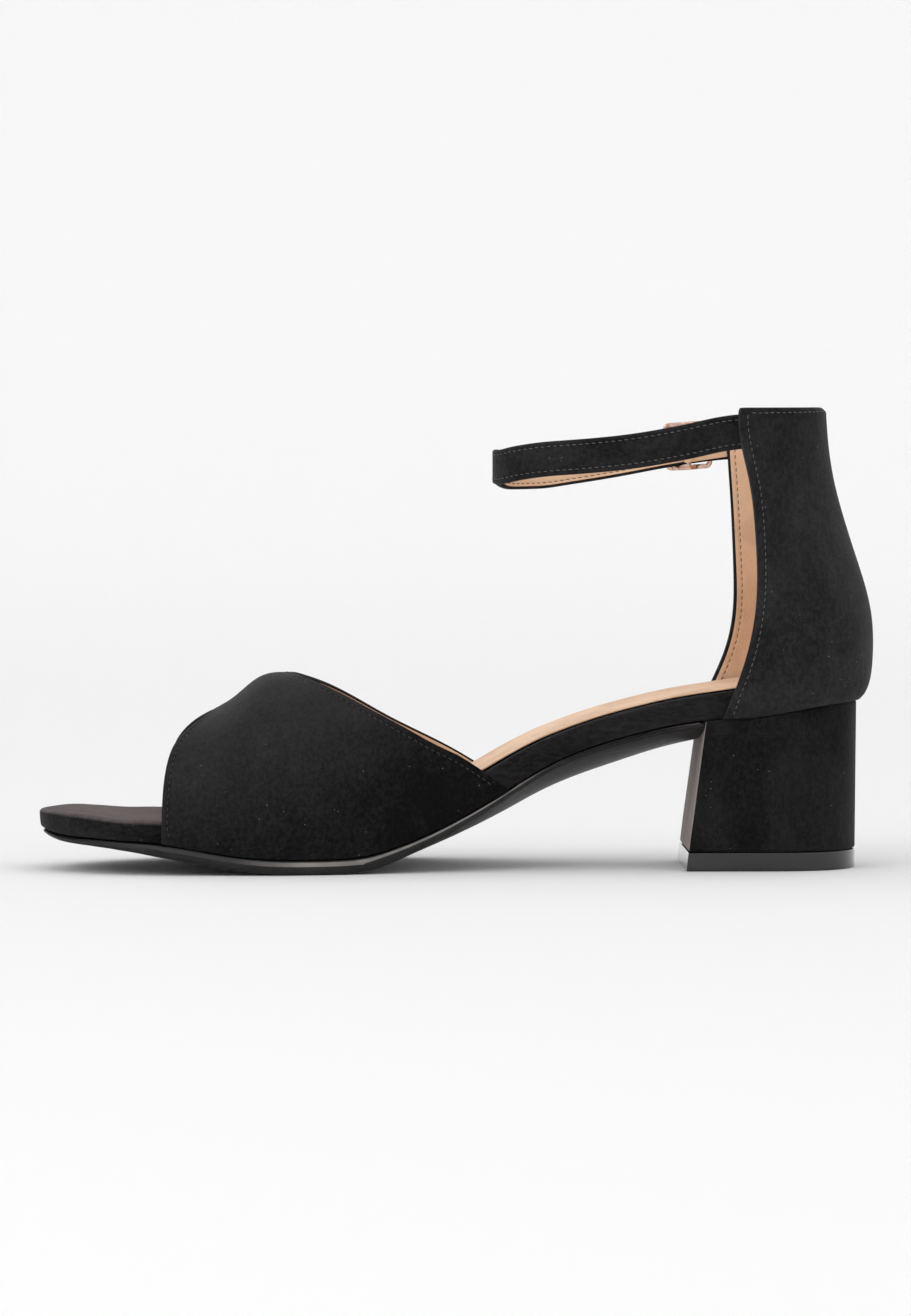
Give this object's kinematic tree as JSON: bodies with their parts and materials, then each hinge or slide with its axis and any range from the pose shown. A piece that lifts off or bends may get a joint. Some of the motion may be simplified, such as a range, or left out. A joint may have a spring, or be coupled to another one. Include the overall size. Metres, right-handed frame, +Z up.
{
  "type": "block heel sandal",
  "caption": "Right block heel sandal with a wide open-toe band over the forefoot, a closed tall back, a buckled ankle strap and a flared block heel.",
  "frame": {"origin": "centre of the heel lift's bottom face, on the floor", "axes": "+Z up from the floor, +X from the toe towards the heel, +Y towards the outer side of the foot where the buckle is"},
  "size_m": [0.2419, 0.0801, 0.1332],
  "materials": {
    "suede": "black imitation suede with a short soft nap",
    "lining": "smooth tan lining leather",
    "sole": "dark satin sole with a lighter worn rim",
    "lift": "hard glossy black",
    "buckle": "polished rose-gold plating"
  },
  "bodies": {
    "root": {"outsole": "sole", "footbed": "suede", "insole_sock": "lining", "vamp": "suede", "quarter": "suede", "ankle_strap": "suede", "buckle_tab": "lining", "buckle_frame": "buckle", "buckle_prong": "buckle", "heel_block": "suede", "heel_lift": "lift"}
  },
  "joints": []
}
